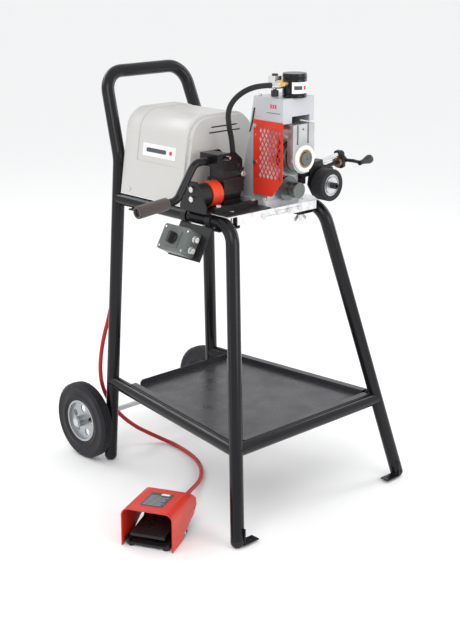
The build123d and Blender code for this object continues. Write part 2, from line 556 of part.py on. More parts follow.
def depth_stop():
    x, y = 0.0, -466.0
    body = block(x - 13, x + 13, y - 13, y + 13, 1182, 1217) + block(x + 6, x + 30, y - 12, y - 2, 1184, 1202)
    body -= rod((HEAD_X, CYL_Y, 1150), (HEAD_X, CYL_Y, 1230), CYL_R)
    body -= rod((x, y, 1170), (x, y, 1230), 5 + FIT)
    knob = rod((x, y, 1161), (x, y, 1177), 10.5) + rod((x, y, 1177), (x, y, 1218), 5)
    knob += rod((x, y, 1217.5), (x, y, 1222), 8.5)
    return {"depth_stop_block": body, "depth_stop_screw": knob}


# ---------------------------------------------------------------- stabilizer
def on_slide(along, drop, y=STAB_Y):
    """A point of the stabilizer slide: distance from the head, distance below the rod."""
    angle = radians(STAB_TILT)
    x = STAB_ROD[0] + along * cos(angle) + drop * sin(angle)
    return (x, y, STAB_ROD[1] + along * sin(angle) - drop * cos(angle))


def slide_plate(corners, y0, y1):
    """A plate across Y whose corners are given as (along, drop)."""
    return slab_xz(y0, y1, [(on_slide(a, d)[0], on_slide(a, d)[2]) for a, d in corners])


def stabilizer():
    nodes = {}
    end0, end1 = 160.0, 172.0
    lug = slab_xz(-472, -425, [(108, 904), (122, 904), (122, 962), (108, 962)])
    for drop in (0, STAB_DROP):
        lug -= rod(on_slide(-10, drop), on_slide(30, drop), 8 if drop == 0 else 6)
    end = slide_plate([(end0, -12), (end1, -12), (end1, 40), (end0, 40)], -479, -447)
    end = fillet(end.edges().filter_by(lambda e: abs((e % 0).X) > 0.9), 9)
    for drop in (0, STAB_DROP):
        end -= rod(on_slide(end0 - 1, drop), on_slide(end1 + 1, drop), 8 if drop == 0 else 6 + FIT)
    nodes["stabilizer_supports"] = Compound(children=[lug, end])
    nodes["stabilizer_guide_rod"] = rod(on_slide(0.6, 0), on_slide(end1, 0), 8) & block(108, 400, -500, -400, 900, 1000)
    nodes["screw_thrust_collar"] = (
        rod(on_slide(end0 - 9, STAB_DROP), on_slide(end0, STAB_DROP), 15, 6 + FIT)
        - rod(on_slide(end0 - 15, 0), on_slide(end0 + 5, 0), 8.3))
    crank = rod(on_slide(15.5, STAB_DROP), on_slide(end1 + 14, STAB_DROP), 6)
    crank += rod(on_slide(end1 + 0.6, STAB_DROP), on_slide(end1 + 14, STAB_DROP), 11)
    hub, elbow = on_slide(end1 + 8, STAB_DROP), on_slide(end1 + 13, STAB_DROP, STAB_Y - 34)
    tip = on_slide(end1 + 10, STAB_DROP, STAB_Y - 67)
    crank += bent_bar([hub, elbow, tip], 5.0, [12.0]) + Pos(*elbow) * Sphere(5.5)
    pin0, pin1 = on_slide(end1 + 4, STAB_DROP, STAB_Y - 67), on_slide(end1 + 17, STAB_DROP, STAB_Y - 67)
    crank += rod(pin0, pin1, 7) + rod(pin1, on_slide(end1 + 56, STAB_DROP, STAB_Y - 67), 3.5)
    nodes["stabilizer_screw_and_crank"] = crank
    grip = [(end1 + 17.5, 6.5), (end1 + 26, 8.5), (end1 + 44, 13), (end1 + 52, 12), (end1 + 57, 7)]
    knob = Plane.XY * Polygon(*[(a, 0) for a, _ in (grip[0], grip[-1])], (grip[-1][0], grip[-1][1]),
                              *[(a, r) for a, r in reversed(grip[:-1])], align=None)
    knob = revolve(knob, Axis.X) - Pos(grip[0][0] - 1, 0, 0) * Rot(Y=90) * Cylinder(3.5 + FIT, 40.5, align=CENTRE_MIN)
    base = on_slide(0, STAB_DROP, STAB_Y - 67)
    nodes["crank_knob"] = Pos(*base) * Rot(Y=-STAB_TILT) * knob
    carriage = slab_xz(-478, -472.5, [
        (154, 964), (231, 938), (226, 895), (205, 866), (150, 866), (128, 900), (136, 950)])
    carriage += slide_plate([(54, -10.5), (82, -10.5), (82, 33), (54, 33)], -476, -450)
    carriage -= rod(on_slide(20, 0), on_slide(150, 0), 8 + FIT)
    carriage -= rod(on_slide(20, STAB_DROP), on_slide(150, STAB_DROP), 6 + 2 * FIT)
    x, z = ROLLER
    carriage += rod((x, -480, z), (x, -477, z), 14)
    nodes["stabilizer_carriage"] = carriage
    nodes["stabilizer_tyre"] = roller_tyre(x, z)
    hub = rod((x, -525, z), (x, -480.5, z), 31, 7 + FIT) - rod((x, -526, z), (x, -518, z), 27)
    nodes["stabilizer_hub"] = hub + rod((x, -526, z), (x, -517, z), 23.5, 7 + FIT)
    bolt = rod((x, -543, z), (x, -526.5, z), 9) + rod((x, -528, z), (x, -480, z), 7)
    bolt -= hexbar((x, -544, z), (x, -534, z), 9)
    nodes["roller_bolt"] = bolt
    return nodes


def roller_tyre(x, z):
    """The rubber roller, rounded at its rim."""
    ring = rod((x, -527, z), (x, -485, z), ROLLER_R, 31)
    rims = [e for e in ring.edges() if e.geom_type == GeomType.CIRCLE and abs(e.radius - ROLLER_R) < 0.1]
    return fillet(rims, 4)


# ---------------------------------------------------------------- hand pump
def pump():
    nodes = {}
    y = PUMP_Y
    deck_z = PLATE_TOP + 3
    rail = bent_bar(side_path(-1), TUBE_R, [BEND_R])
    base = block(-192, -24, -480, -302, PLATE_TOP, deck_z)
    base -= rod((-136, -440, PLATE_TOP - 1), (-136, -440, deck_z + 1), 8.5)
    for y0 in (-430.0, -316.0):
        base += block(-186, -26, y0, y0 + 14, deck_z, deck_z + 13)
    bracket = slab_yz(-212, -206, [
        (-418, deck_z), (-312, deck_z), (-312, 872), (y + 16, 940), (y - 16, 940), (-418, 872)])
    bracket += block(-212, -190, -418, -312, deck_z - 3, deck_z)
    nodes["pump_base"] = base + bracket - block(-198, -188, -485, -300, 840, PLATE_TOP) - rail
    body = rod((-206, y, PUMP_Z), (-166, y, PUMP_Z), 33) + rod((-166, y, PUMP_Z), (-58, y, PUMP_Z), 31)
    body += block(-122, -48, y - 30, y + 30, PUMP_Z, 930) + block(-118, -52, y - 22, y + 22, deck_z, PUMP_Z)
    sleeve = rod((-166, y, PUMP_Z), (-128.5, y, PUMP_Z), 36, 31)
    nodes["pump_reservoir"] = Compound(children=[body, sleeve])
    block_top = 985.0
    pump_head = block(-124, -50, y - 27, y + 27, 930, block_top)
    pump_head += block(-127, -47, y - 33, y + 33, 930, 938)
    pump_head -= rod((PLUNGER_X, y, 934), (PLUNGER_X, y, block_top + 1), 7 + FIT)
    pump_head += rod((LEVER_PIVOT[0], y - 38, LEVER_PIVOT[1]), (LEVER_PIVOT[0], y + 38, LEVER_PIVOT[1]), 6)
    pump_head += rod((PORT_X, y, block_top), (PORT_X, y, block_top + 6), 11)
    nodes["pump_head"] = pump_head
    plunger = rod((PLUNGER_X, y, 936), (PLUNGER_X, y, 998), 7)
    nodes["pump_plunger"] = plunger + rod((PLUNGER_X, y - 35, 996), (PLUNGER_X, y + 35, 996), 4)
    lever = Part()
    for y0 in (y - 35.0, y + 29.5):
        cheek = slab_xz(y0, y0 + 5.5, [
            (-146, 972), (-96, 960), (-70, 956), (-58, 968), (-60, 990), (-84, 1010), (-146, 1010)])
        cheek -= block(-133, -97, y0 - 1, y0 + 7, 989.2, 1002.8)
        lever += cheek - rod((LEVER_PIVOT[0], y0 - 1, LEVER_PIVOT[1]), (LEVER_PIVOT[0], y0 + 7, LEVER_PIVOT[1]), 6 + FIT)
    lever += block(-146, -108, y - 35, y + 35, 1004, 1010)
    lever += block(-152, -142, y - 35, y + 35, 974, 1010)
    arm = [(-145, y, 991), (-204, y, 989), (-268, y, 896), (-404, y, 884)]
    lever += bent_bar(arm, 11, [34.0, 34.0])
    nodes["pump_lever"] = lever
    nodes["lever_grip"] = grip_sleeve(arm[2], arm[3])
    bolts = [hexbar((-219, y, z), (-212, y, z), 15) for z in (919.0, 892.0)]
    for x in (-170.0, -40.0):
        for y0 in (-423.0, -309.0):
            bolts.append(hexbar((x, y0, deck_z + 13), (x, y0, deck_z + 19), 13))
    nodes["pump_bolts"] = Compound(children=bolts)
    knob = rod((-60, y - 41, 948), (-60, y - 27, 948), 7.5) + rod((-60, y - 46, 948), (-60, y - 41, 948), 5)
    nodes["release_knob"] = knob
    return nodes


def grip_sleeve(start, end):
    """Foam grip over the last of the pump lever."""
    a, b = Vector(*start), Vector(*end)
    direction = (b - a).normalized()
    first, last = b - direction * 100, b + direction * 4
    return rod(tuple(first), tuple(last), 17.5) - rod(tuple(a), tuple(b), 11)


def hose_ends():
    """Crimped ferrules and the brass swivel into the ram cylinder."""
    start, end = Vector(*HOSE_ROUTE[0]), Vector(*HOSE_ROUTE[-1])
    first = (Vector(*HOSE_ROUTE[1]) - start).normalized()
    port = tuple(start)
    ferrule = hexbar((PORT_X, PUMP_Y, 991), (PORT_X, PUMP_Y, 996), 20) + rod((PORT_X, PUMP_Y, 996), port, 9)
    ferrule -= Plane(origin=port, z_dir=first) * Cylinder(7.5, 40, align=CENTRE_MIN)
    lead = (end - Vector(*HOSE_ROUTE[-2])).normalized()
    ferrule += rod(tuple(end + lead * 0.05), tuple(end + lead * 26), 8)
    z = end.Z
    swivel = rod(tuple(end + lead * 26), tuple(end + lead * 30), 9)
    swivel += hexbar((-22, end.Y, z), (0, end.Y, z), 19) + rod((-1, end.Y, z), (16, end.Y, z), 8)
    swivel -= rod((HEAD_X, CYL_Y, 1150), (HEAD_X, CYL_Y, 1240), CYL_R)
    swivel -= rod(tuple(end), tuple(end + lead * 26), 8)
    return {"hose_fittings": Compound(children=ferrule.solids() + swivel.solids())}


# ---------------------------------------------------------------- reversing switch
SWITCH_PLANE = Plane(origin=(-221.5, -338.0, 764.4), x_dir=(0, 1, 0), z_dir=(-0.87, 0, 0.493))


def switch_box():
    at = SWITCH_PLANE

    def box(x0, x1, y0, y1, z0, z1):
        return at * block(x0, x1, y0, y1, z0, z1)
    bracket = box(-84, 46, -60, 40, -3, 0)
    for y0 in (-418.0, -318.0):
        clamp = rod((-RAIL_X, y0, RAIL_Z), (-RAIL_X, y0 + 20, RAIL_Z), TUBE_R + 3.5, TUBE_R)
        bracket += clamp - block(-230, -150, y0 - 1, y0 + 21, PLATE_TOP - PLATE_T - 0.4, 880)
    bracket -= bent_bar(side_path(-1), TUBE_R, [BEND_R])
    case = box(-54, 54, -37, 37, 0, 42)
    case = fillet(case.edges().filter_by(lambda e: abs((e % 0).dot(at.z_dir)) > 0.99), 8)
    case -= at * block(-50, 50, -33, 33, -1, 38)
    bezel = box(-23, 27, -24, 24, 42, 44.5)
    hub = at * Pos(2, 0, 30) * Cylinder(5 + FIT, 20, align=CENTRE_MIN)
    contact = at * Pos(2, 0, 0) * (Box(44, 44, 29, align=CENTRE_MIN))
    knob = at * Pos(2, 0, 29.5) * Cylinder(5, 16, align=CENTRE_MIN)
    knob += at * Pos(2, 0, 45) * Cylinder(17, 6, align=CENTRE_MIN)
    knob += at * Pos(2, 0, 51) * Box(9, 32, 13, align=CENTRE_MIN)
    clamps = []
    for x, y in ((-54.0, -14.0), (-54.0, 18.0)):
        gland = at * Pos(x - 14, y, 21) * Rot(Y=90) * Cylinder(8, 14, align=CENTRE_MIN)
        clamps.append(gland + at * Pos(x - 5, y, 21) * Rot(Y=90) * Cylinder(11, 5, align=CENTRE_MIN))
    screws = [
        at * Pos(x, y, 42) * Cylinder(3.2, 1.6, align=CENTRE_MIN) for x in (-45, 45) for y in (-28, 28)
    ]
    return {
        "switch_bracket": bracket,
        "switch_box": Compound(children=[case - hub, contact, bezel - hub]),
        "switch_knob": knob,
        "cord_clamps": Compound(children=clamps),
        "switch_screws": Compound(children=screws),
    }


# ---------------------------------------------------------------- foot switch
FOOT = Plane(
    origin=(*SWITCH_AT, 0), x_dir=(cos(radians(SWITCH_TURN)), sin(radians(SWITCH_TURN)), 0), z_dir=(0, 0, 1))
PEDAL_PIN = (150.0, 46.0)


def foot_switch():
    nodes = {}
    half = SWITCH_W / 2

    def side_shape(points, t0, t1):
        return FOOT * slab_xz(t0, t1, points)

    def across(s, z, t0, t1, r):
        return FOOT * rod((s, t0, z), (s, t1, z), r)
    profile = [(0, 0), (80, 3), (86, 12), (98, 19), (130, 32), (160, 42), (182, 62), (178, 84), (160, 104), (0, 112)]
    local = slab_xz(-half, half, profile)
    long_edges = [e for e in local.edges() if e.center().Z > 100 and abs(e.center().Y) > half - 1]
    local = fillet(long_edges, 22)
    inner = slab_xz(-half + 3, half - 3, [
        (-5, -5), (190, -5), (190, 40), (179, 56), (175, 83), (158, 101), (-5, 109.2)])
    inner_edges = [e for e in inner.edges() if e.center().Z > 100 and abs(e.center().Y) > half - 5 and e.length > 50]
    inner = fillet(inner_edges, 19)
    guard = FOOT * (local - inner)
    guard -= FOOT * rod((165, 0, 32), (200, 0, 32), 9)
    nodes["foot_switch_guard"] = guard
    base = side_shape([(4, 6), (120, 6), (150, 24), (174, 52), (170, 55), (146, 30), (118, 12), (4, 12)], -58, 58)
    for t in (-62.0, 54.0):
        base += side_shape([(4, 6), (120, 6), (162, 36), (162, 54), (140, 54), (118, 18), (4, 18)], t, t + 8)
    base += FOOT * block(20, 118, -half + 3, half - 3, 6, 14) + FOOT * block(84, 112, 20, 48, 12, 26)
    for s in (12.0, 104.0):
        for t in (-50.0, 50.0):
            base += FOOT * rod((s, t, 0), (s, t, 7), 8)
    base -= FOOT * rod((140, 0, 30), (200, 0, 30), 9)
    base += across(PEDAL_PIN[0], PEDAL_PIN[1], -60, 60, 4)
    nodes["foot_switch_base"] = base
    pedal = side_shape([(4, 40), (128, 50), (150, 54), (157, 46), (150, 38), (128, 44), (4, 34)], -50, 50)
    pedal += side_shape([(4, 31.5), (10, 31.5), (10, 36), (4, 36)], -50, 50)
    nodes["foot_pedal"] = pedal - across(PEDAL_PIN[0], PEDAL_PIN[1], -80, 80, 4 + FIT)
    nodes["pedal_spring"] = FOOT * Pos(70, 0, 0) * spring((0, 0, 15.2), 22.6, 9.0, 1.0, 4.0)
    screws = []
    for side in (-1, 1):
        for s, z in ((160.0, 50.0), (86.0, 20.0)):
            ends = sorted((side * half, side * (half + 3)))
            screws.append(across(s, z, *ends, 5))
    nodes["foot_switch_screws"] = Compound(children=screws)
    nodes["foot_switch_gland"] = FOOT * rod((160, 0, 30), (203, 0, 30), 9)
    return nodes


def cords():
    y = PLATE[3]
    gland = rod((-95, y, 838), (-95, CORD_ROUTE[0][1], 838), 9.5)
    return {
        "cord_gland": gland,
        "hydraulic_hose": cord("hydraulic_hose", HOSE_ROUTE, HOSE_D),
        "foot_switch_cord": cord("foot_switch_cord", CORD_ROUTE, CORD_D),
    }


# ---------------------------------------------------------------- assembly
CORDS = ("hydraulic_hose", "foot_switch_cord")
FAMILIES = {
    "bolts_and_wing_nuts": ("plate_bolts", "wing_nuts", "head_bolts", "pump_bolts"),
    "panel_screws": ("cover_screws", "guard_screws", "switch_screws", "foot_switch_screws"),
    "cord_glands": ("cord_clamps", "cord_gland", "foot_switch_gland"),
    "bronze_bushes": ("shaft_bushes", "screw_thrust_collar"),
}


def assembly():
    nodes = {}
    for group in (
        stand, wheels, tray, deck, motor_cover, power_train, head, ram_parts, drive_roll, guard, depth_stop,
        stabilizer, pump, hose_ends, switch_box, foot_switch, cords,
    ):
        nodes.update(group())
    for name, members in FAMILIES.items():
        solids = [solid for member in members for solid in nodes.pop(member).solids()]
        nodes[name] = Compound(children=solids)
    return nodes


def main():
    os.makedirs("parts", exist_ok=True)
    nodes = assembly()
    boxes = [node.bounding_box() for name, node in nodes.items() if name not in CORDS]
    low_x, high_x = min(b.min.X for b in boxes), max(b.max.X for b in boxes)
    low_y, high_y = min(b.min.Y for b in boxes), max(b.max.Y for b in boxes)
    shift = (-(low_x + high_x) / 2, -(low_y + high_y) / 2, 0)
    print("shift", [round(v, 3) for v in shift], "size", round(high_x - low_x, 1), round(high_y - low_y, 1))
    for name, node in nodes.items():
        export_step(Pos(*shift) * node, f"parts/{name}.step")
    print(len(nodes), "nodes written")


main()
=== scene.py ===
import bpy
import bmesh
import json
from math import atan2, cos, pi, radians, sin
from mathutils import Matrix, Vector


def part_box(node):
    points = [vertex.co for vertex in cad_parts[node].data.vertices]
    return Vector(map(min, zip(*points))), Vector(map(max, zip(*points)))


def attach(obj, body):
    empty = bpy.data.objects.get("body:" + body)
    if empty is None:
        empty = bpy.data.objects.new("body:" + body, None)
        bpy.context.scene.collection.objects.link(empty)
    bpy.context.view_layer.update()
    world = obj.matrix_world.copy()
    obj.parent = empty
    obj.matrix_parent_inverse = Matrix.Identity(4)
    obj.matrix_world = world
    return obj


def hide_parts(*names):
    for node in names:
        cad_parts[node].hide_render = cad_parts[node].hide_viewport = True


# Looks of the roll groover: materials for every CAD node, and the pieces that need finer shapes.

# The shift from the point on the floor between the rear legs to the frame's origin.
SHIFT = Vector((0.100884, 0.2344, 0.0))

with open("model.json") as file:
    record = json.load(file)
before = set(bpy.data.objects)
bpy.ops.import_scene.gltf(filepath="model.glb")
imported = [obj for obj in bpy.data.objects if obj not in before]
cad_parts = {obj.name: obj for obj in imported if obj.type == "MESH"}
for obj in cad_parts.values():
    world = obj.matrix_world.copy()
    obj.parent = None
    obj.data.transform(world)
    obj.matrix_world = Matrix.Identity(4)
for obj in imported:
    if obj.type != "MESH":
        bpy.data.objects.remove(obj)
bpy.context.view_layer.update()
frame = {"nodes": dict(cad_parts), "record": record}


def middle(node):
    low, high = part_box(node)
    return (Vector(low) + Vector(high)) / 2


def extent(node):
    low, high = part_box(node)
    return Vector(high) - Vector(low)


# ---------------------------------------------------------------- materials
class Shader:
    """One Principled material, with small helpers to hang textures on it."""

    def __init__(self, name, color, rough, metal=0.0, coat=0.0, sheen=0.0, specular=0.5):
        self.mat = bpy.data.materials.new(name)
        self.mat.use_nodes = True
        self.tree = self.mat.node_tree
        self.bsdf = self.tree.nodes["Principled BSDF"]
        self.color, self.rough = color, rough
        self.bsdf.inputs["Base Color"].default_value = (*color, 1)
        self.bsdf.inputs["Roughness"].default_value = rough
        self.bsdf.inputs["Metallic"].default_value = metal
        self.bsdf.inputs["Coat Weight"].default_value = coat
        self.bsdf.inputs["Coat Roughness"].default_value = 0.12
        self.bsdf.inputs["Sheen Weight"].default_value = sheen
        self.bsdf.inputs["Specular IOR Level"].default_value = specular
        self.coords = self.tree.nodes.new("ShaderNodeTexCoord").outputs["Object"]
        self.height = None

    def node(self, kind, **values):
        made = self.tree.nodes.new(kind)
        for key, value in values.items():
            if key in made.inputs:
                made.inputs[key].default_value = value
            else:
                setattr(made, key, value)
        return made

    def link(self, a, b):
        self.tree.links.new(a, b)

    def noise(self, scale, detail=4.0, stretch=(1, 1, 1), rough=0.5):
        mapping = self.node("ShaderNodeMapping")
        mapping.inputs["Scale"].default_value = stretch
        self.link(self.coords, mapping.inputs["Vector"])
        made = self.node("ShaderNodeTexNoise", Scale=scale, Detail=detail, Roughness=rough)
        self.link(mapping.outputs["Vector"], made.inputs["Vector"])
        return made.outputs["Fac"]

    def cells(self, scale, feature="F1", output="Distance"):
        made = self.node("ShaderNodeTexVoronoi", Scale=scale)
        made.feature = feature
        self.link(self.coords, made.inputs["Vector"])
        return made.outputs[output]

    def ramp(self, value, stops):
        made = self.node("ShaderNodeValToRGB")
        elements = made.color_ramp.elements
        while len(elements) < len(stops):
            elements.new(0.5)
        for element, (place, color) in zip(elements, stops):
            element.position = place
            element.color = (*color, 1) if len(color) == 3 else color
        self.link(value, made.inputs["Fac"])
        return made.outputs["Color"]

    def spread(self, value, low, high, out_low, out_high):
        made = self.node("ShaderNodeMapRange")
        for key, number in zip(("From Min", "From Max", "To Min", "To Max"), (low, high, out_low, out_high)):
            made.inputs[key].default_value = number
        self.link(value, made.inputs["Value"])
        return made.outputs["Result"]

    def mix(self, fac, a, b, blend="MIX"):
        made = self.node("ShaderNodeMix", data_type="RGBA", blend_type=blend)
        for socket, source in ((made.inputs[0], fac), (made.inputs[6], a), (made.inputs[7], b)):
            if hasattr(source, "is_linked"):
                self.link(source, socket)
            else:
                socket.default_value = (*source, 1) if hasattr(source, "__len__") else source
        return made.outputs[2]

    def tint(self, scale, dark, light):
        """Slow changes of tone over the surface."""
        tone = self.noise(scale, 3.0)
        low = [c * dark for c in self.color]
        high = [min(1.0, c * light) for c in self.color]
        self.tone = self.ramp(tone, [(0.3, low), (0.7, high)])
        return self

    def speck(self, scale, color, amount):
        """Small specks, chips or dust of another colour."""
        spots = self.noise(scale, 6.0, rough=0.65)
        mask = self.spread(spots, 0.5 + 0.2 * (1 - amount), 0.78, 0.0, 1.0)
        self.tone = self.mix(mask, self.tone, color)
        return self

    def dust(self, color, amount):
        """A little dust on upward faces."""
        split = self.node("ShaderNodeSeparateXYZ")
        self.link(self.node("ShaderNodeNewGeometry").outputs["Normal"], split.inputs[0])
        up = self.spread(split.outputs["Z"], 0.3, 1.0, 0.0, amount)
        patch = self.node("ShaderNodeMath", operation="MULTIPLY")
        self.link(up, patch.inputs[0])
        self.link(self.spread(self.noise(22.0, 5.0), 0.35, 0.65, 0.2, 1.0), patch.inputs[1])
        self.tone = self.mix(patch.outputs[0], self.tone, color)
        return self

    def bump(self, value, strength, distance):
        made = self.node("ShaderNodeBump", Strength=strength, Distance=distance)
        self.link(value, made.inputs["Height"])
        if self.height:
            self.link(self.height, made.inputs["Normal"])
        self.height = made.outputs["Normal"]
        return self

    def worn(self, scale, low, high):
        """Roughness that wanders between two values."""
        self.link(self.spread(self.noise(scale, 5.0), 0.3, 0.7, low, high), self.bsdf.inputs["Roughness"])
        return self

    def beyond(self, axis, limit, soft=0.0004):
        """0 below and 1 above a limit along X, Y or Z, given from the floor point between the rear legs."""
        split = self.node("ShaderNodeSeparateXYZ")
        self.link(self.coords, split.inputs[0])
        limit += SHIFT["XYZ".index(axis)]
        return self.spread(split.outputs[axis], limit - soft, limit + soft, 0.0, 1.0)

    def away(self, axis, centre, limit, soft=0.0003):
        """0 inside and 1 outside a cylinder that runs along X or Y through a point (across, z)."""
        across = "Y" if axis == "X" else "X"
        split = self.node("ShaderNodeSeparateXYZ")
        self.link(self.coords, split.inputs[0])
        flat = self.node("ShaderNodeCombineXYZ")
        self.link(split.outputs[across], flat.inputs["X"])
        self.link(split.outputs["Z"], flat.inputs["Z"])
        reach = self.node("ShaderNodeVectorMath", operation="DISTANCE")
        self.link(flat.outputs[0], reach.inputs[0])
        reach.inputs[1].default_value = (centre[0] + SHIFT["XYZ".index(across)], 0.0, centre[1])
        return self.spread(reach.outputs["Value"], limit - soft, limit + soft, 0.0, 1.0)

    def both(self, first, second, flip=False):
        """The product of two masks, with the second one turned over if asked."""
        if flip:
            turned_over = self.node("ShaderNodeMath", operation="SUBTRACT")
            turned_over.inputs[0].default_value = 1.0
            self.link(second, turned_over.inputs[1])
            second = turned_over.outputs[0]
        made = self.node("ShaderNodeMath", operation="MULTIPLY")
        self.link(first, made.inputs[0])
        self.link(second, made.inputs[1])
        return made.outputs[0]

    def swap(self, mask, color, metal=None):
        """Another colour, and another metal value, where the mask is 1."""
        self.tone = self.mix(mask, self.tone, color)
        if metal is not None:
            start = self.bsdf.inputs["Metallic"]
            value = self.spread(mask, 0.0, 1.0, start.default_value, metal)
            if start.is_linked:
                blend = self.node("ShaderNodeMix", data_type="FLOAT")
                self.link(mask, blend.inputs[0])
                self.link(start.links[0].from_socket, blend.inputs[2])
                blend.inputs[3].default_value = metal
                value = blend.outputs[0]
            self.link(value, start)
        return self

    def done(self):
        self.link(self.tone, self.bsdf.inputs["Base Color"])
        if self.height:
            self.link(self.height, self.bsdf.inputs["Normal"])
        return self.mat


def gloss_paint(name, color, peel=0.05):
    made = Shader(name, color, 0.2, coat=0.06, specular=0.24).tint(3.0, 0.85, 1.25)
    made.speck(160.0, [min(1, c * 2 + 0.02) for c in color], 0.1).dust((0.2, 0.19, 0.19), 0.02)
    return made.bump(made.noise(420.0, 2.0), peel, 0.0006).worn(9.0, 0.14, 0.28).done()


def powder_coat(name, color, rough=0.42, grain=0.22, chip=(0.16, 0.15, 0.15), finish=True, specular=0.3):
    made = Shader(name, color, rough, coat=0.05, specular=specular).tint(5.0, 0.86, 1.16).speck(120.0, chip, 0.08)
    made.dust((0.3, 0.29, 0.28), 0.03)
    made.bump(made.noise(950.0, 2.0), grain, 0.0005).bump(made.noise(60.0, 3.0), 0.08, 0.001)
    made.worn(14.0, rough - 0.1, rough + 0.12)
    return made.done() if finish else made


def cast_paint(name, color, finish=True):
    made = Shader(name, color, 0.38, metal=0.25, coat=0.15).tint(6.0, 0.9, 1.08)
    made.speck(90.0, [c * 0.55 for c in color], 0.12)
    made.bump(made.noise(330.0, 4.0, rough=0.7), 0.3, 0.0012).bump(made.noise(45.0, 3.0), 0.12, 0.002)
    made.worn(18.0, 0.3, 0.5)
    return made.done() if finish else made


def moulded(name, color, rough=0.5, grain=0.25, sheen=0.0, finish=True):
    made = Shader(name, color, rough, sheen=sheen).tint(4.0, 0.96, 1.03).speck(210.0, [c * 0.8 for c in color], 0.1)
    made.bump(made.cells(900.0), grain, 0.0004)
    made.worn(11.0, rough - 0.08, rough + 0.08)
    return made.done() if finish else made


def machined(name, color, rough=0.3, stretch=(1, 30, 1), tool=0.25):
    made = Shader(name, color, rough, metal=1.0).tint(8.0, 0.85, 1.12)
    lines = made.noise(90.0, 6.0, stretch)
    made.tone = made.mix(made.spread(lines, 0.35, 0.65, 0.0, 0.35), made.tone, [c * 0.7 for c in color])
    made.speck(75.0, [c * 0.45 for c in color], 0.08)
    made.bump(lines, tool, 0.0004)
    return made.worn(26.0, rough - 0.08, rough + 0.14).done()


def plated(name, color, rough=0.2, finish=True):
    made = Shader(name, color, rough, metal=1.0).tint(14.0, 0.88, 1.05).speck(60.0, [c * 0.6 for c in color], 0.1)
    made.bump(made.noise(300.0, 3.0), 0.06, 0.0004)
    made.worn(30.0, rough - 0.06, rough + 0.15)
    return made.done() if finish else made


def zinc(name, color):
    made = Shader(name, color, 0.3, metal=0.75)
    flakes = made.cells(70.0, output="Color")
    grey = made.node("ShaderNodeRGBToBW")
    made.link(flakes, grey.inputs[0])
    made.tone = made.ramp(grey.outputs[0], [(0.2, [c * 0.88 for c in color]), (0.8, [min(1, c * 1.08) for c in color])])
    made.speck(50.0, (0.5, 0.5, 0.5), 0.12)
    made.bump(made.noise(140.0, 3.0, (1, 12, 1)), 0.08, 0.0005)
    return made.worn(20.0, 0.24, 0.42).done()


def rubbery(name, color, rough=0.7, grain=0.3, fine=700.0):
    made = Shader(name, color, rough, sheen=0.05, specular=0.25).tint(7.0, 0.8, 1.3)
    made.speck(130.0, [min(1, c * 2.0 + 0.012) for c in color], 0.12).dust((0.25, 0.24, 0.23), 0.03)
    made.bump(made.noise(fine, 3.0), grain, 0.0005)
    return made.worn(12.0, rough - 0.12, rough + 0.12).done()


def foam(name, color):
    made = Shader(name, color, 0.85, sheen=0.3, specular=0.25).tint(9.0, 0.8, 1.25)
    pores = made.cells(850.0)
    # Painted shade: the pore centres are coloured darker, as shade inside the pores.
    made.tone = made.mix(made.spread(pores, 0.0, 0.35, 0.55, 0.0), made.tone, [c * 0.35 for c in color])
    made.bump(pores, 0.5, 0.0008).bump(made.noise(55.0, 3.0), 0.2, 0.002)
    return made.worn(12.0, 0.78, 0.92).done()


def pump_paint():
    """Black pump paint with the orange sleeve at the reservoir's rear end."""
    made = powder_coat("pump_black", (0.014, 0.013, 0.014), 0.3, finish=False)
    sleeve = made.both(made.beyond("X", -0.1662), made.beyond("X", -0.128), flip=True)
    return made.swap(made.both(sleeve, made.away("X", PUMP_AXIS, 0.0335)), (0.78, 0.06, 0.025)).done()


def head_paint_groove_shade():
    """Casting paint, with the curved groove in both sides painted near black as painted shade in the recess."""
    made = cast_paint("head_grey_groove_shade", (0.50, 0.51, 0.535), finish=False)
    high = made.both(made.beyond("Z", 0.949), made.beyond("Z", 1.1255), flip=True)
    long = made.both(made.beyond("Y", -0.4065), made.beyond("Y", -0.3495), flip=True)
    groove_shade_zone = made.both(high, long)
    for near, far in ((-0.0137, -0.0085), (0.1025, 0.1077)):
        inside = made.both(made.beyond("X", near), made.beyond("X", far), flip=True)
        # Painted shade: the groove is coloured near black where its recess would fall in shadow.
        made.swap(made.both(groove_shade_zone, inside), (0.03, 0.028, 0.03), 0.0)
    return made.done()


def ring_and_bushes():
    """White retaining ring outside, bronze bushes inside."""
    made = moulded("ring_and_bushes", (0.42, 0.25, 0.13), 0.3, 0.05, finish=False)
    made.bsdf.inputs["Metallic"].default_value = 1.0
    return made.swap(made.away("Y", ROLL_AXIS, 0.02545), (0.84, 0.84, 0.83), 0.0).done()


def fittings():
    """Nickel ferrule, brass swivel at the cylinder and a black nut at the pump."""
    made = plated("fittings", (0.66, 0.65, 0.62), 0.2, finish=False)
    made.swap(made.beyond("X", -0.0205), (0.86, 0.60, 0.22))
    low = made.node("ShaderNodeMath", operation="SUBTRACT")
    low.inputs[0].default_value = 1.0
    made.link(made.beyond("Z", 1.08), low.inputs[1])
    return made.swap(low.outputs[0], (0.02, 0.02, 0.021), 0.0).done()


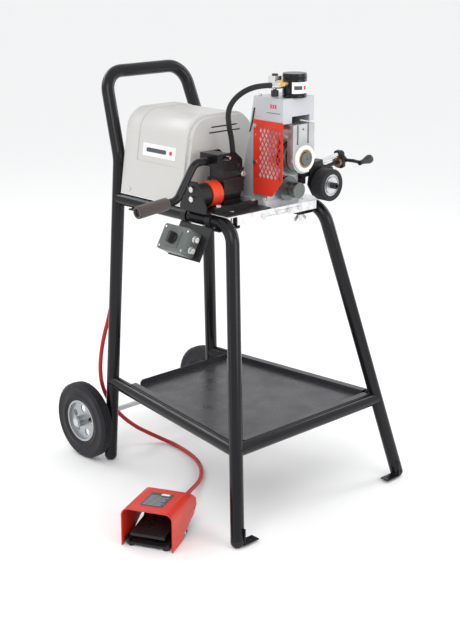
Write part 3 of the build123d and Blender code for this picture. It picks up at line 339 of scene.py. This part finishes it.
BLACK = (0.006, 0.006, 0.0075)
PUMP_AXIS = (-0.365, 0.898)
ROLL_AXIS = (0.047, 0.994)
MATERIALS = {
    "black_gloss_paint": gloss_paint("tube_black", BLACK),
    "black_satin_paint": powder_coat("satin_black", (0.013, 0.012, 0.014), 0.34),
    "pump_paint": pump_paint(),
    "head_paint_groove_shade": head_paint_groove_shade(),
    "hub_silver": machined("hub_silver", (0.74, 0.75, 0.77), 0.3, (20, 1, 20), 0.15),
    "ring_and_bushes": ring_and_bushes(),
    "fittings": fittings(),
    "grey_casting_paint": cast_paint("casting_grey", (0.50, 0.51, 0.535)),
    "cover_grey_plastic": moulded("cover_grey", (0.555, 0.545, 0.525), 0.42, 0.12),
    "orange_paint": powder_coat("safety_orange", (0.60, 0.030, 0.014), 0.36, 0.14, (0.4, 0.03, 0.015), specular=0.4),
    "zinc_sheet": zinc("zinc", (0.84, 0.85, 0.86)),
    "tray_sheet": powder_coat("tray_black", (0.024, 0.023, 0.028), 0.28, 0.18, specular=0.5),
    "machined_steel": machined("ram_steel", (0.62, 0.63, 0.63), 0.32, (40, 40, 1)),
    "hard_roll_steel": machined("roll_steel", (0.20, 0.225, 0.215), 0.36, (1, 30, 1)),
    "bright_fasteners": plated("fastener_zinc", (0.78, 0.77, 0.74), 0.24),
    "chrome_rod": plated("hard_chrome", (0.86, 0.87, 0.88), 0.1),
    "bronze": machined("bronze", (0.34, 0.215, 0.13), 0.36, (1, 20, 1)),
    "brass_and_nickel": plated("brass", (0.86, 0.63, 0.26), 0.2),
    "black_rubber": rubbery("black_rubber", (0.016, 0.016, 0.018)),
    "tyre_rubber": rubbery("tyre_rubber", (0.013, 0.012, 0.016), 0.55, 0.25, 420.0),
    "rim_alloy": machined("rim_alloy", (0.46, 0.48, 0.50), 0.4, (20, 1, 20), 0.15),
    "foam_grip": foam("foam", (0.062, 0.048, 0.046)),
    "black_plastic": moulded("black_plastic", (0.018, 0.018, 0.02), 0.4, 0.3),
    "white_ring": moulded("white_ring", (0.86, 0.86, 0.85), 0.28, 0.05),
    "red_cord": rubbery("red_jacket", (0.42, 0.018, 0.022), 0.42, 0.12, 300.0),
    "switch_box_paint": powder_coat("switch_grey", (0.12, 0.135, 0.13), 0.4, 0.3),
    "spring_steel": plated("spring_steel", (0.45, 0.45, 0.47), 0.3),
    "iron_gear": machined("gear_iron", (0.28, 0.28, 0.29), 0.4),
    "motor_iron": cast_paint("motor_grey", (0.18, 0.2, 0.21)),
}
SLOTS = {part["node"]: part["material_slot"] for part in frame["record"]["subparts"]}
LOOKS = dict(SLOTS)
for node, look in (
    ("pump_reservoir", "pump_paint"), ("ram_bushes_and_ring", "ring_and_bushes"), ("hose_fittings", "fittings"),
    ("ram_piston", "black_satin_paint"), ("roller_bolt", "black_satin_paint"), ("head_casting", "head_paint_groove_shade"),
    ("stabilizer_hub", "hub_silver"),
):
    LOOKS[node] = look


def coat(obj, slot):
    """Gives a piece one of the materials."""
    obj.data.materials.clear()
    obj.data.materials.append(MATERIALS[slot])


for node, obj in frame["nodes"].items():
    for entry in obj.material_slots:
        entry.link = "OBJECT"
        entry.material = MATERIALS[LOOKS[node]]


# ---------------------------------------------------------------- edges of the CAD nodes
def soften(node, width, segments=2):
    """Rounds a CAD node's sharp edges, as on a casting or a folded sheet."""
    obj = frame["nodes"][node]
    weld = obj.modifiers.new("weld", "WELD")
    weld.merge_threshold = 0.00002
    bevel = obj.modifiers.new("edges", "BEVEL")
    bevel.width = width
    bevel.segments = segments
    bevel.limit_method = "ANGLE"
    bevel.angle_limit = radians(40)
    bevel.harden_normals = False


for node, width in (
    ("head_casting", 0.002), ("ram", 0.0022), ("pump_head", 0.0015), ("pump_base", 0.0008),
    ("stabilizer_supports", 0.0015), ("stabilizer_carriage", 0.001), ("switch_box", 0.0006), ("base_plate", 0.0007),
    ("drive_roll", 0.0009), ("upper_groove_roll", 0.0009), ("roll_guard", 0.0004), ("rail_clamps", 0.0006),
    ("ram_cylinder", 0.0009), ("depth_stop_block", 0.001), ("foot_pedal", 0.0012), ("motor_cover", 0.0009),
    ("switch_knob", 0.0012), ("ram_bushes_and_ring", 0.001), ("bolts_and_wing_nuts", 0.0006),
):
    soften(node, width)


# ---------------------------------------------------------------- mesh tools
def mesh_piece(name, verts, faces, slot, body, smooth=True):
    mesh = bpy.data.meshes.new(name)
    mesh.from_pydata([tuple(v) for v in verts], [], faces)
    mesh.validate()
    obj = bpy.data.objects.new(name, mesh)
    bpy.context.scene.collection.objects.link(obj)
    work = bmesh.new()
    work.from_mesh(mesh)
    bmesh.ops.recalc_face_normals(work, faces=work.faces)
    work.to_mesh(mesh)
    work.free()
    if smooth:
        mesh.shade_smooth()
    coat(obj, slot)
    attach(obj, body)
    return obj


def turned(name, profile, centre, axis, slot, body, steps=96, wobble=None):
    """A closed (radius, along) profile turned about an axis."""
    axis = Vector(axis).normalized()
    side = axis.orthogonal().normalized()
    other = axis.cross(side)
    verts, faces = [], []
    count = len(profile)
    for i in range(steps):
        angle = 2 * pi * i / steps
        ray = side * cos(angle) + other * sin(angle)
        for j, (radius, along) in enumerate(profile):
            more = wobble(i, j) if wobble else 0.0
            verts.append(Vector(centre) + ray * (radius + more) + axis * along)
    for i in range(steps):
        for j in range(count):
            a, b = i * count + j, i * count + (j + 1) % count
            c, d = ((i + 1) % steps) * count + (j + 1) % count, ((i + 1) % steps) * count + j
            faces.append((a, b, c, d))
    return mesh_piece(name, verts, faces, slot, body)


def sharpen(obj, degrees=32):
    """Keeps creases crisp on a smooth-shaded mesh."""
    obj.data.set_sharp_from_angle(angle=radians(degrees))
    return obj


def panel(name, centre, across, up, width, height, thick, slot, body, corner=0.004, steps=5):
    """A thin rounded plate, such as a label or a name plate."""
    across, up = Vector(across).normalized(), Vector(up).normalized()
    out = across.cross(up)
    ring = []
    for sx, sy, start in ((1, 1, 0), (-1, 1, 90), (-1, -1, 180), (1, -1, 270)):
        for k in range(steps + 1):
            angle = radians(start + 90 * k / steps)
            ring.append((sx * (width / 2 - corner) + corner * cos(angle), sy * (height / 2 - corner) + corner * sin(angle)))
    verts = [Vector(centre) + across * x + up * y + out * z for z in (0.0, thick) for x, y in ring]
    n = len(ring)
    faces = [tuple(range(n - 1, -1, -1)), tuple(range(n, 2 * n))]
    faces += [(i, (i + 1) % n, n + (i + 1) % n, n + i) for i in range(n)]
    return mesh_piece(name, verts, faces, slot, body, smooth=False)


# ---------------------------------------------------------------- wheels
for side, sign in (("left", -1), ("right", 1)):
    node = f"{side}_tyre"
    centre = middle(node)
    radius, half = extent(node).z / 2, extent(node).x / 2
    inner = 0.066
    outline = [
        (inner, -0.72), (inner + 0.004, -0.88), (inner + 0.012, -0.93), (inner + 0.0135, -0.99), (inner + 0.017, -0.99),
        (inner + 0.0185, -0.95), (inner + 0.028, -1.0), (inner + 0.040, -0.97), (inner + 0.0415, -1.0), (inner + 0.045, -0.97),
        (radius - 0.0035, -0.76),
    ]
    for k in range(5):
        left = -0.68 + k * 0.288
        outline += [(radius - 0.0006 - 0.0008 * abs(k - 2), left), (radius - 0.0005 * abs(k - 2), left + 0.02)]
        outline += [(radius - 0.0005 * abs(k - 2), left + 0.17), (radius - 0.0006 - 0.0008 * abs(k - 2), left + 0.19)]
        if k < 4:
            outline += [(radius - 0.0048, left + 0.205), (radius - 0.0048, left + 0.27)]
    outline += [(r, -a) for r, a in reversed(outline[:11])]
    profile = [(min(r, radius), a * half) for r, a in outline]

    def sipes(i, j, first=10, last=len(profile) - 11):
        return -0.0008 if i % 4 == 0 and first < j < last else 0.0
    tyre = turned(f"{side}_tyre_tread", profile, centre, (1, 0, 0), "tyre_rubber", f"{side}_wheel", 160, sipes)
    sharpen(tyre, 38)
    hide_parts(node)


# ---------------------------------------------------------------- foam grip
grip_low, grip_high = (Vector(v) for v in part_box("lever_grip"))
grip_dir = Vector((-136.0, 0.0, -12.0)).normalized()
grip_mid = (grip_low + grip_high) / 2
grip_radius, grip_length = 0.0175, 0.104
rings = [
    (0.0112, -0.5), (0.0150, -0.5), (0.0166, -0.49), (0.0174, -0.47), (0.0175, -0.3), (0.0172, -0.1), (0.0173, 0.1),
    (0.0175, 0.3), (0.0174, 0.47), (0.0166, 0.49), (0.0150, 0.5), (0.0112, 0.5),
]
grip = turned("foam_grip", [(r, a * grip_length) for r, a in rings], grip_mid, grip_dir, "foam_grip", "lever", 72)
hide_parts("lever_grip")

# ---------------------------------------------------------------- hose and cord
def tube_curve(name, points, diameter, slot, body, node):
    curve = bpy.data.curves.new(name, "CURVE")
    curve.dimensions = "3D"
    curve.bevel_depth = diameter / 2
    curve.bevel_resolution = 6
    curve.resolution_u = 16
    curve.use_fill_caps = True
    spline = curve.splines.new("NURBS")
    spline.points.add(len(points) - 1)
    for point, place in zip(spline.points, points):
        point.co = (*place, 1)
    spline.order_u = 3
    spline.use_endpoint_u = True
    obj = bpy.data.objects.new(name, curve)
    bpy.context.scene.collection.objects.link(obj)
    coat(obj, slot)
    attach(obj, body)
    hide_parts(node)
    return obj


def routed(points):
    return [tuple(Vector(p) / 1000 + SHIFT) for p in points]


HOSE = routed([
    (-61, -365, 1002), (-64, -364, 1039), (-79, -370, 1070), (-100, -390, 1092), (-124, -412, 1114),
    (-137, -432, 1143), (-133, -455, 1171), (-113, -477, 1191), (-82, -493, 1199), (-46, -495, 1197),
])
CORD = routed([
    (-95, -5, 838), (-95, 31, 838), (-95, 62.4, 825), (-95.5, 86.4, 801), (-97, 101, 766), (-101, 104, 706),
    (-112, 98, 620), (-136, 87, 530), (-166, 79, 450), (-200, 73, 375), (-217, 69, 300), (-214, 67, 235),
    (-186, 65, 168), (-138, 63, 108), (-88, 59, 62), (-54, 50, 38), (-28, 31, 20), (-12, 2, 9.5), (-8, -38, 7),
    (-18, -110, 7), (-40, -185, 7), (-82, -252, 7), (-140, -304, 8), (-205, -342, 16), (-279.3, -388, 29),
    (-341.3, -420.6, 30),
])
hose = tube_curve("pump_hose", HOSE, 0.015, "black_rubber", "frame", "hydraulic_hose")
cord = tube_curve("foot_switch_lead", CORD, 0.0127, "red_cord", "frame", "foot_switch_cord")


# ---------------------------------------------------------------- labels, all generic
def label_paint(name, color, rough=0.35):
    made = Shader(name, color, rough, coat=0.25).tint(12.0, 0.94, 1.03).speck(240.0, [c * 0.7 for c in color], 0.12)
    return made.bump(made.noise(600.0, 2.0), 0.05, 0.0003).worn(30.0, rough - 0.08, rough + 0.1).done()


MATERIALS["label_white"] = label_paint("label_white", (0.83, 0.83, 0.81))
MATERIALS["label_red"] = label_paint("label_red", (0.68, 0.03, 0.025))
MATERIALS["label_dark"] = label_paint("label_dark", (0.05, 0.055, 0.065))
MATERIALS["label_grey"] = label_paint("label_grey", (0.36, 0.37, 0.39))


def label(name, centre, across, up, width, height, paint, body, corner=0.002, lift=0.0, thick=0.0003):
    out = Vector(across).normalized().cross(Vector(up).normalized())
    spot = panel(name, Vector(centre) + out * lift, across, up, width, height, thick, "cover_grey_plastic", body, corner)
    spot.data.materials.clear()
    spot.data.materials.append(MATERIALS[paint])
    return spot


# Motor cover: a white plate with a dark bar and a red dot on its left side.
cover_low, cover_high = (Vector(v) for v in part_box("motor_cover"))
lean = radians(8.6)
side_up = Vector((sin(lean), 0, cos(lean)))
side_out = Vector((-cos(lean), 0, sin(lean)))


def on_cover_side(y, z):
    """A point of the cover's left face inside its sunk panel."""
    x = cover_low.x + 0.0022 + (z - cover_low.z) * (sin(lean) / cos(lean))
    return Vector((x, y, z)) + side_out * 0.0004


spot = on_cover_side((cover_low.y + cover_high.y) / 2 - 0.011, cover_low.z + 0.136)
back = Vector((0, -1, 0))
label("cover_plate", spot, back, side_up, 0.142, 0.036, "label_white", "frame")
label("cover_plate_bar", spot - back * 0.012 + side_out * 0.0004, back, side_up, 0.086, 0.012, "label_dark", "frame", 0.005)
label("cover_plate_dot", spot + back * 0.05 + side_out * 0.0004, back, side_up, 0.012, 0.012, "label_red", "frame", 0.0055)


def curved_label(name, centre, radius, z0, z1, start, end, paint, steps=24):
    """A label wrapped round an upright cylinder, between two bearings in degrees."""
    verts, faces = [], []
    for i in range(steps + 1):
        angle = radians(start + (end - start) * i / steps)
        for r in (radius, radius + 0.0003):
            for z in (z0, z1):
                verts.append(Vector((centre.x + r * cos(angle), centre.y + r * sin(angle), z)))
    for i in range(steps):
        a, b = 4 * i, 4 * (i + 1)
        faces += [(a + 2, a + 3, b + 3, b + 2), (a, b, b + 1, a + 1), (a, a + 2, b + 2, b), (a + 1, b + 1, b + 3, a + 3)]
    faces += [(0, 1, 3, 2), (4 * steps, 4 * steps + 2, 4 * steps + 3, 4 * steps + 1)]
    piece = mesh_piece(name, verts, faces, "white_ring", "frame", smooth=False)
    piece.data.materials.clear()
    piece.data.materials.append(MATERIALS[paint])
    return piece


cylinder = middle("ram_cylinder")
base_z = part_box("ram_cylinder")[0][2]
curved_label("cylinder_plate", cylinder, 0.0337, base_z + 0.0125, base_z + 0.043, -148, -48, "label_white")
curved_label("cylinder_plate_bar", cylinder, 0.0340, base_z + 0.0225, base_z + 0.033, -138, -98, "label_dark")
curved_label("cylinder_plate_dot", cylinder, 0.0340, base_z + 0.0225, base_z + 0.033, -90, -74, "label_red", 8)

# Foot switch: a dark plate with plain pale lines on the hood.
turn = radians(27.7)
foot_u, foot_n = Vector((cos(turn), sin(turn), 0)), Vector((-sin(turn), cos(turn), 0))
foot_top = SHIFT + Vector((-0.521, -0.515, 0.112))
slope = Vector((foot_u.x * cos(radians(2.87)), foot_u.y * cos(radians(2.87)), -sin(radians(2.87))))
hood = foot_top + slope * 0.083 + foot_n * 0.002 + Vector((0, 0, 0.0002))
label("hood_plate", hood, -foot_n, slope, 0.066, 0.094, "label_dark", "frame", 0.003)
for k in range(9):
    width = (0.054, 0.05, 0.056, 0.044, 0.055, 0.052, 0.047, 0.056, 0.03)[k]
    place = hood + slope * (-0.038 + 0.0078 * k) - foot_n * (0.056 - width) * -0.5 + Vector((0, 0, 0.0004))
    label(f"hood_line_{k}", place, -foot_n, slope, width, 0.0026, "label_grey", "frame", 0.001)
label("hood_mark", hood + slope * 0.038 - foot_n * 0.01 + Vector((0, 0, 0.0004)), -foot_n, slope, 0.024, 0.011, "label_white", "frame", 0.002)

# Ram gland: a stepped rubber wiper under the head's top block, round the piston; it is made deep and black so that it
# also stands in as painted shade filling the gap under the block.
gland_shade_profile = [
    (0.0139, 1.0935), (0.0152, 1.0935), (0.0158, 1.0941), (0.0158, 1.0980), (0.0172, 1.0986), (0.0172, 1.1010),
    (0.0155, 1.1016), (0.0155, 1.1036), (0.0172, 1.1042), (0.0172, 1.1079), (0.0139, 1.1079),
]
gland_shade_axis = SHIFT + Vector((0.047, -0.495, 0.0))
sharpen(turned("ram_gland_gap_shade", gland_shade_profile, gland_shade_axis, (0, 0, 1), "black_rubber", "frame", 72), 30)

# Head: a short engraved line and three plain marks in place of its number.
head_low, head_high = (Vector(v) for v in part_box("head_casting"))
face_x = head_low.x + 0.009
for k in range(3):
    place = Vector((face_x, SHIFT.y - 0.466 - 0.009 * k, 1.135))
    label(f"head_mark_{k}", place, (0, -1, 0), (0, 0, 1), 0.006, 0.011, "label_red", "frame", 0.0015)
label("head_line", Vector((face_x, SHIFT.y - 0.476, 1.117)), (0, -1, 0), (0, 0, 1), 0.05, 0.0016, "label_dark", "frame", 0.0006)


# ---------------------------------------------------------------- floor, light and camera
floor_mat = Shader("pale_floor", (0.96, 0.96, 0.958), 0.7, specular=0.1).tint(1.5, 0.995, 1.0).worn(4.0, 0.55, 0.65).done()
bpy.ops.mesh.primitive_plane_add(size=90, location=(0, 0, -0.0002))
floor = bpy.context.object
floor.name = "floor"
floor.data.materials.append(floor_mat)

world = bpy.data.worlds.new("studio")
bpy.context.scene.world = world
world.use_nodes = True
world.node_tree.nodes["Background"].inputs["Color"].default_value = (0.985, 0.99, 1.0, 1)
world.node_tree.nodes["Background"].inputs["Strength"].default_value = 0.95


def area(name, place, target, size, power, color=(1, 1, 1)):
    data = bpy.data.lights.new(name, "AREA")
    data.shape = "RECTANGLE"
    data.size, data.size_y = size
    data.energy = power
    data.color = color
    obj = bpy.data.objects.new(name, data)
    obj.location = place
    obj.rotation_euler = (Vector(target) - Vector(place)).to_track_quat("-Z", "Y").to_euler()
    bpy.context.scene.collection.objects.link(obj)


aim = (0.0, 0.0, 0.65)
area("key", (-2.2, -1.6, 3.0), aim, (1.8, 1.8), 30)
area("front_fill", (0.6, -3.4, 1.7), aim, (2.2, 1.6), 30)
area("right_strip", (2.8, -0.6, 1.8), aim, (0.7, 2.2), 20)
area("back_rim", (-0.6, 2.8, 2.6), aim, (2.4, 0.8), 26)
area("left_strip", (-3.0, 0.8, 1.2), aim, (0.5, 2.0), 6)

camera = bpy.data.cameras.new("camera")
camera.sensor_width = 36.0
camera.lens = 71.97
camera.clip_end = 60
eye = bpy.data.objects.new("camera", camera)
bpy.context.scene.collection.objects.link(eye)
azimuth, tilt = radians(43.379), radians(17.436)
backward = Vector((-sin(azimuth) * cos(tilt), -cos(azimuth) * cos(tilt), sin(tilt)))
right = Vector((cos(azimuth), -sin(azimuth), 0))
up = backward.cross(right)
place = Vector((-2.468386, -2.901159, 1.620794)) + SHIFT
eye.matrix_world = Matrix((
    (right.x, up.x, backward.x, place.x), (right.y, up.y, backward.y, place.y),
    (right.z, up.z, backward.z, place.z), (0, 0, 0, 1)))
bpy.context.scene.camera = eye
bpy.context.scene.view_settings.view_transform = "Standard"
